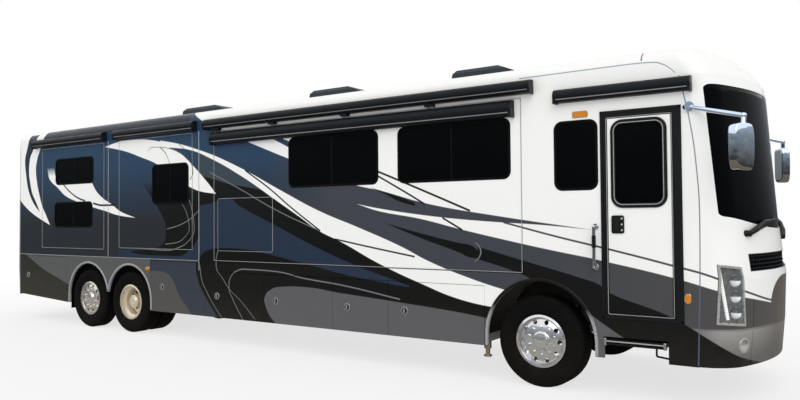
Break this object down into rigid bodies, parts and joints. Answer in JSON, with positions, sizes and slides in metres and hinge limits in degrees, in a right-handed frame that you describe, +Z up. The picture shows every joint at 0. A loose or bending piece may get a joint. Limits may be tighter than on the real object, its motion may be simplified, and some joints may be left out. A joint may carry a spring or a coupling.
{
  "type": "motorhome",
  "caption": "Long rear-engined motorhome coach with a tag axle, slide-out rooms, baggage doors, hinged entry door and steered front wheels.",
  "frame": {"origin": "on the ground, midway along and across the coach", "axes": "+X forward, +Y to the left, +Z up"},
  "size_m": [13.6769, 3.3716, 3.96],
  "materials": {
    "shell_paint": "glossy painted fibreglass",
    "dark_glass": "dark tinted",
    "chassis_paint": "satin black",
    "bay_sheet": "plain sheet",
    "floor_board": "sealed board",
    "door_frame_black": "satin black",
    "step_alloy": "ribbed",
    "awning_case": "satin black",
    "mirror_chrome": "polished",
    "black_plastic": "matt",
    "lamp_lens": "clear lens",
    "tail_lens": "red lens",
    "unit_plastic": "moulded",
    "cast_engine": "cast",
    "tank_alloy": "plain",
    "seat_hide": "soft",
    "tyre": "matt rubber",
    "polished_alloy": "polished"
  },
  "bodies": {
    "coach": {"chassis_frame": "chassis_paint", "bay_pan": "bay_sheet", "floor_deck": "floor_board", "wall_right": "shell_paint", "wall_left": "shell_paint", "roof": "shell_paint", "front_cap": "shell_paint", "rear_cap": "shell_paint", "windshield": "dark_glass", "fixed_windows": "dark_glass", "skirts": "shell_paint", "entry_door_frame": "door_frame_black", "entry_step": "step_alloy", "awnings": "awning_case", "mirrors": "mirror_chrome", "wipers": "black_plastic", "headlamps": "lamp_lens", "tail_lamps": "tail_lens", "roof_units": "unit_plastic", "engine_block": "cast_engine", "fuel_tank": "tank_alloy", "front_axle": "chassis_paint", "rear_axles": "chassis_paint", "cab_seats": "seat_hide", "dashboard": "black_plastic"},
    "entry_door": {"entry_door": "shell_paint", "entry_door_glass": "dark_glass"},
    "engine_door": {"engine_door": "shell_paint"},
    "slide_rear": {"slide_rear": "shell_paint", "slide_rear_glass": "dark_glass"},
    "slide_mid": {"slide_mid": "shell_paint", "slide_mid_glass": "dark_glass"},
    "slide_main": {"slide_main": "shell_paint", "slide_main_glass": "dark_glass", "topper_main": "awning_case"},
    "slide_left": {"slide_left": "shell_paint", "slide_left_glass": "dark_glass"},
    "bay_door_right_0": {"bay_door_right_0": "shell_paint"},
    "bay_door_right_1": {"bay_door_right_1": "shell_paint"},
    "bay_door_right_2": {"bay_door_right_2": "shell_paint"},
    "bay_door_right_3": {"bay_door_right_3": "shell_paint"},
    "bay_door_right_4": {"bay_door_right_4": "shell_paint"},
    "bay_door_right_5": {"bay_door_right_5": "shell_paint"},
    "bay_door_left_1": {"bay_door_left_1": "shell_paint"},
    "bay_door_left_2": {"bay_door_left_2": "shell_paint"},
    "bay_door_left_3": {"bay_door_left_3": "shell_paint"},
    "knuckle_right": {"knuckle_right": "chassis_paint"},
    "wheel_front_right": {"tyre_front_right": "tyre", "rim_front_right": "polished_alloy"},
    "wheel_drive_right": {"tyre_drive_right": "tyre", "rim_drive_right": "polished_alloy"},
    "wheel_tag_right": {"tyre_tag_right": "tyre", "rim_tag_right": "polished_alloy"},
    "knuckle_left": {"knuckle_left": "chassis_paint"},
    "wheel_front_left": {"tyre_front_left": "tyre", "rim_front_left": "polished_alloy"},
    "wheel_drive_left": {"tyre_drive_left": "tyre", "rim_drive_left": "polished_alloy"},
    "wheel_tag_left": {"tyre_tag_left": "tyre", "rim_tag_left": "polished_alloy"}
  },
  "joints": [
    {"name": "bay_door_right_0_hinge", "type": "hinge", "parent": "coach", "child": "bay_door_right_0", "pos_m": [-4.949, -1.281, 0.75], "axis": [0, 0, 1], "range_deg": [0, 90]},
    {"name": "bay_door_right_1_hinge", "type": "hinge", "parent": "coach", "child": "bay_door_right_1", "pos_m": [-1.109, -1.281, 0.75], "axis": [0, 0, 1], "range_deg": [0, 90]},
    {"name": "bay_door_right_2_hinge", "type": "hinge", "parent": "coach", "child": "bay_door_right_2", "pos_m": [0.177, -1.281, 0.75], "axis": [0, 0, 1], "range_deg": [0, 90]},
    {"name": "bay_door_right_3_hinge", "type": "hinge", "parent": "coach", "child": "bay_door_right_3", "pos_m": [1.481, -1.281, 0.75], "axis": [0, 0, 1], "range_deg": [0, 90]},
    {"name": "bay_door_right_4_hinge", "type": "hinge", "parent": "coach", "child": "bay_door_right_4", "pos_m": [2.406, -1.281, 0.75], "axis": [0, 0, 1], "range_deg": [0, 90]},
    {"name": "bay_door_right_5_hinge", "type": "hinge", "parent": "coach", "child": "bay_door_right_5", "pos_m": [3.806, -1.281, 0.75], "axis": [0, 0, 1], "range_deg": [0, 90]},
    {"name": "bay_door_left_1_hinge", "type": "hinge", "parent": "coach", "child": "bay_door_left_1", "pos_m": [0.177, 1.281, 0.75], "axis": [0, 0, -1], "range_deg": [0, 90]},
    {"name": "bay_door_left_2_hinge", "type": "hinge", "parent": "coach", "child": "bay_door_left_2", "pos_m": [1.481, 1.281, 0.75], "axis": [0, 0, -1], "range_deg": [0, 90]},
    {"name": "bay_door_left_3_hinge", "type": "hinge", "parent": "coach", "child": "bay_door_left_3", "pos_m": [2.406, 1.281, 0.75], "axis": [0, 0, -1], "range_deg": [0, 90]},
    {"name": "entry_door_hinge", "type": "hinge", "parent": "coach", "child": "entry_door", "pos_m": [5.961, -1.281, 1.9], "axis": [0, 0, 1], "range_deg": [0, 90]},
    {"name": "engine_door_hinge", "type": "hinge", "parent": "coach", "child": "engine_door", "pos_m": [-6.815, 0, 1.574], "axis": [0, 1, 0], "range_deg": [0, 75]},
    {"name": "slide_rear_travel", "type": "slide", "parent": "coach", "child": "slide_rear", "axis": [0, -1, 0], "range_m": [0, 0.75]},
    {"name": "slide_mid_travel", "type": "slide", "parent": "coach", "child": "slide_mid", "axis": [0, -1, 0], "range_m": [0, 0.75]},
    {"name": "slide_main_travel", "type": "slide", "parent": "coach", "child": "slide_main", "axis": [0, -1, 0], "range_m": [0, 0.75]},
    {"name": "slide_left_travel", "type": "slide", "parent": "coach", "child": "slide_left", "axis": [0, 1, 0], "range_m": [0, 0.75]},
    {"name": "steer_right", "type": "hinge", "parent": "coach", "child": "knuckle_right", "pos_m": [4.51, -0.86, 0.522], "axis": [0, 0, 1], "range_deg": [-45, 45]},
    {"name": "wheel_front_right_spin", "type": "hinge", "parent": "knuckle_right", "child": "wheel_front_right", "pos_m": [4.51, -1.133, 0.522], "axis": [0, 1, 0], "continuous": true},
    {"name": "wheel_drive_right_spin", "type": "hinge", "parent": "coach", "child": "wheel_drive_right", "pos_m": [-3.04, -1.133, 0.522], "axis": [0, 1, 0], "continuous": true},
    {"name": "wheel_tag_right_spin", "type": "hinge", "parent": "coach", "child": "wheel_tag_right", "pos_m": [-4.24, -1.133, 0.522], "axis": [0, 1, 0], "continuous": true},
    {"name": "steer_left", "type": "hinge", "parent": "coach", "child": "knuckle_left", "pos_m": [4.51, 0.86, 0.522], "axis": [0, 0, 1], "range_deg": [-45, 45]},
    {"name": "wheel_front_left_spin", "type": "hinge", "parent": "knuckle_left", "child": "wheel_front_left", "pos_m": [4.51, 1.133, 0.522], "axis": [0, 1, 0], "continuous": true},
    {"name": "wheel_drive_left_spin", "type": "hinge", "parent": "coach", "child": "wheel_drive_left", "pos_m": [-3.04, 1.133, 0.522], "axis": [0, 1, 0], "continuous": true},
    {"name": "wheel_tag_left_spin", "type": "hinge", "parent": "coach", "child": "wheel_tag_left", "pos_m": [-4.24, 1.133, 0.522], "axis": [0, 1, 0], "continuous": true}
  ],
  "couplings": [
    {"joint": "steer_right", "follows": "steer_left", "ratio": 1}
  ]
}
